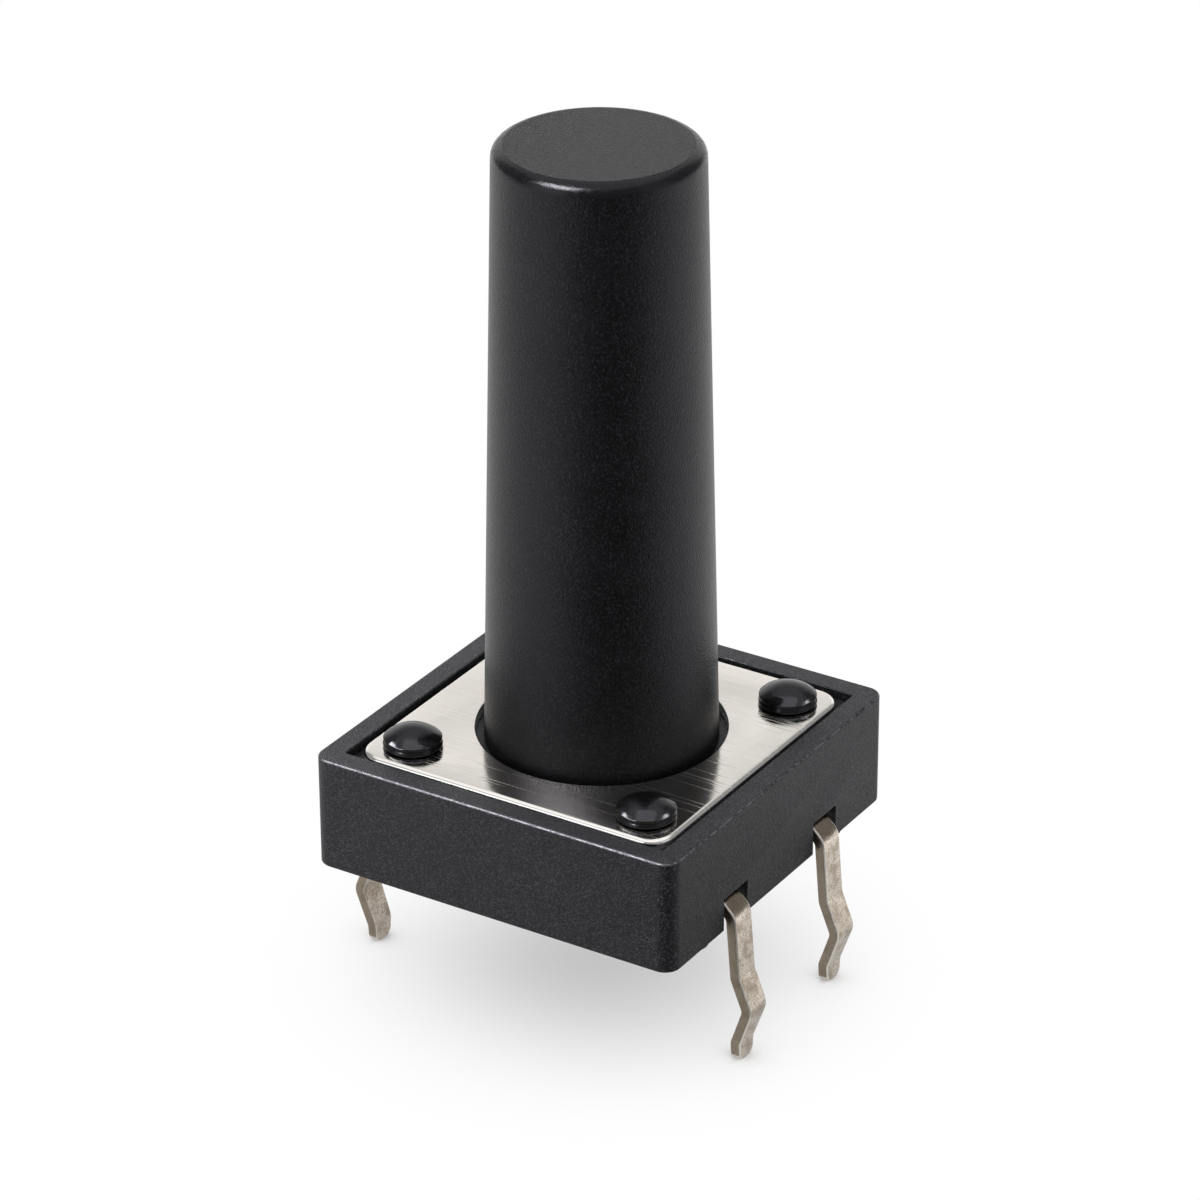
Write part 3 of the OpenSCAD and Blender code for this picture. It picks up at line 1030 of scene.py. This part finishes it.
heads = bpy.data.objects.new("post_heads", bpy.data.meshes.new("post_heads"))
scene.collection.objects.link(heads)
maker = heads.modifiers.new("staking", "NODES")
maker.node_group = staking
for item in staking.interface.items_tree:
    if item.in_out == "INPUT":
        maker[item.identifier] = head_inputs.get(item.name, flow_seed)
depsgraph = bpy.context.evaluated_depsgraph_get()
heads_mesh = bpy.data.meshes.new_from_object(heads.evaluated_get(depsgraph))
heads.modifiers.clear()
heads.data = heads_mesh
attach(heads, "housing")


# Floor, light and camera
# A white table under even soft light, seen from the photograph's place. Reflections find a white
# sweep behind the object, a softbox overhead and two upright panels in a dim room, and lamps that
# shine on single pieces draw the highlights on their edges.

# Level directions to parts of the room: the camera, the dark gap beside it, the lit left side and
# the two upright panels
camera_side = (0.532, -0.847)
dark_side = (0.697, -0.718)
left_side = (-0.847, -0.532)
left_panel = (-0.356, -0.935)
right_panel = (0.998, 0.072)


def toward(tree, vector, side):
    """How far a level direction points to one side of the room, from -1 to 1."""
    axes = place_node(tree, "ShaderNodeSeparateXYZ", {0: vector})
    level = place_node(
        tree, "ShaderNodeCombineXYZ", {"X": axes.outputs["X"], "Y": axes.outputs["Y"]}
    ).outputs[0]
    unit = place_node(tree, "ShaderNodeVectorMath", {0: level}, operation="NORMALIZE").outputs[0]
    return place_node(
        tree, "ShaderNodeVectorMath", {0: unit, 1: (*side, 0)}, operation="DOT_PRODUCT"
    ).outputs["Value"]


dim_walls = 0.28
fill_light = 1.0
world = bpy.data.worlds.new("studio")
world.use_nodes = True
scene.world = world
tree = world.node_tree
background = tree.nodes["Background"]
path = place_node(tree, "ShaderNodeLightPath")
direction = place_node(tree, "ShaderNodeTexCoord").outputs["Generated"]
height = place_node(tree, "ShaderNodeSeparateXYZ", {0: direction}).outputs["Z"]
# The sweep stands opposite the camera and is dimmer higher up
behind = between(tree, toward(tree, direction, camera_side), -0.6, -0.9)
behind = sums(tree, "MULTIPLY", behind, between(tree, height, 0.32, 0.6, 1.0, 0.68))
overhead = between(tree, height, 0.6, 0.85)
upright = between(tree, height, 0.6, 0.75, 1.0, 0.0)
room = sums(tree, "MAXIMUM", sums(tree, "MAXIMUM", behind, overhead), dim_walls)
for side, brightness in ((left_panel, 1.3), (right_panel, 0.6)):
    panel = between(tree, toward(tree, direction, side), 0.89, 0.97, 0.0, brightness)
    room = sums(tree, "MAXIMUM", room, sums(tree, "MULTIPLY", panel, upright))
mirrored = sums(
    tree, "MAXIMUM", path.outputs["Is Glossy Ray"], path.outputs["Is Transmission Ray"]
)
level = fill_light
for share, other in ((mirrored, room), (path.outputs["Is Camera Ray"], 1.0)):
    level = place_node(tree, "ShaderNodeMix", {0: share, 2: level, 3: other}).outputs[0]
tree.links.new(level, background.inputs["Strength"])
background.inputs["Color"].default_value = (1, 1, 1, 1)

floor_z = cad_bounds[0][2]
floor_half = 1.5
floor_corners = [
    (side * floor_half, end * floor_half, floor_z)
    for side, end in ((-1, -1), (1, -1), (1, 1), (-1, 1))
]
shape = bmesh.new()
shape.faces.new([shape.verts.new(corner) for corner in floor_corners])
table, tree, shader = new_finish("table")
shader.inputs["Base Color"].default_value = (0.95, 0.95, 0.95, 1)
shader.inputs["Roughness"].default_value = 0.6
shader.inputs["Specular IOR Level"].default_value = 0.2
where = place_node(tree, "ShaderNodeTexCoord").outputs["Object"]
away = place_node(tree, "ShaderNodeVectorMath", {0: where}, operation="LENGTH").outputs["Value"]
path = place_node(tree, "ShaderNodeLightPath")
# The camera sees pure white away from the object, and shadows close to it and in its corners
far = between(tree, away, -1.5 * MM, 11.7 * MM)
close = place_node(tree, "ShaderNodeAmbientOcclusion", {"Distance": 2.0 * MM}, samples=8)
far = sums(tree, "MULTIPLY", far, between(tree, close.outputs["AO"], 0.3, 0.95))
seen = sums(tree, "MULTIPLY", far, path.outputs["Is Camera Ray"])
# Reflections find it darker toward the gap in the room and close to the object
gap = between(tree, toward(tree, where, dark_side), 0.61, 0.83, 0.0, 0.94)
beyond = between(tree, away, 8 * MM, 15 * MM)
gap = sums(tree, "SUBTRACT", 1.0, sums(tree, "MULTIPLY", gap, beyond))
sides = between(tree, toward(tree, where, left_side), -0.6, 0.4, 1.05, 1.0)
shaded = between(tree, away, 2 * MM, 26 * MM, 0.45, 1.0)
room = sums(tree, "MULTIPLY", sums(tree, "MULTIPLY", gap, sides), shaded)
white = place_node(tree, "ShaderNodeEmission", {"Color": (1, 1, 1, 1), "Strength": 1.0})
mirror_view = place_node(tree, "ShaderNodeEmission", {"Color": (1, 1, 1, 1), "Strength": room})
clear = place_node(tree, "ShaderNodeBsdfTransparent")
from_below = place_node(tree, "ShaderNodeNewGeometry").outputs["Backfacing"]
surface = shader.outputs[0]
for share, other in (
    (path.outputs["Is Glossy Ray"], mirror_view),
    (seen, white),
    (from_below, clear),
):
    surface = place_node(
        tree, "ShaderNodeMixShader", {0: share, 1: surface, 2: other.outputs[0]}
    ).outputs[0]
tree.links.new(surface, tree.nodes["Material Output"].inputs["Surface"])
mesh = bpy.data.meshes.new("table")
shape.to_mesh(mesh)
shape.free()
mesh.materials.append(table)
floor = bpy.data.objects.new("table", mesh)
scene.collection.objects.link(floor)


def softbox(name, pieces, direction, width, height, brightness):
    """A softbox that shines from a direction at some pieces, seen only in their reflections."""
    distance = 0.35
    data = bpy.data.lights.new(name, "AREA")
    data.shape = "RECTANGLE"
    data.size = width
    data.size_y = height
    # A flat lamp of brightness 1 gives pi watts from each square metre
    data.energy = brightness * math.pi * width * height
    lamp = bpy.data.objects.new(name, data)
    way = Vector(direction).normalized()
    lamp.location = way * distance
    lamp.rotation_euler = way.to_track_quat("Z", "Y").to_euler()
    lamp.visible_diffuse = False
    lit = bpy.data.collections.new(name)
    for piece in pieces:
        lit.objects.link(piece)
    lamp.light_linking.receiver_collection = lit
    scene.collection.objects.link(lamp)


# Each lamp's name, the pieces that it shines on, its direction, width, height and brightness
softbox("left_softbox", (base,), (-0.471, -0.457, 0.755), 0.40, 0.22, 23)
softbox("head_softbox", (heads,), (-0.471, -0.457, 0.56), 0.36, 0.07, 30)
softbox("right_softbox", (base, heads), (0.584, 0.299, 0.62), 0.2, 0.06, 14)
softbox("top_softbox", (base, heads), (0.1, -0.2, 1.0), 0.3, 0.3, 1.5)
softbox("edge_softbox", (button,), (-0.25, -0.72, 0.86), 0.2, 0.14, 22)

camera_azimuth = math.radians(32.17)
camera_elevation = math.radians(27.28)
camera_roll = math.radians(-0.282)
camera_distance = 146.68 * MM
camera_lens = 155.06
camera_aim = Vector((0, 0, 8.3 * MM))
aim_shift = (-0.03 * MM, -0.45 * MM)
back = Vector(
    (
        math.sin(camera_azimuth) * math.cos(camera_elevation),
        -math.cos(camera_azimuth) * math.cos(camera_elevation),
        math.sin(camera_elevation),
    )
)
level_right = Vector((math.cos(camera_azimuth), math.sin(camera_azimuth), 0))
level_up = back.cross(level_right)
right = math.cos(camera_roll) * level_right + math.sin(camera_roll) * level_up
up = math.cos(camera_roll) * level_up - math.sin(camera_roll) * level_right
view = bpy.data.cameras.new("photo_view")
view.lens = camera_lens
view.sensor_width = 36
view.clip_start = 0.01
view.clip_end = 20
camera = bpy.data.objects.new("photo_view", view)
place = camera_aim + right * aim_shift[0] + up * aim_shift[1] + back * camera_distance
camera.matrix_world = Matrix.Translation(place) @ Matrix((right, up, back)).transposed().to_4x4()
scene.collection.objects.link(camera)
scene.camera = camera
scene.view_settings.view_transform = "Standard"
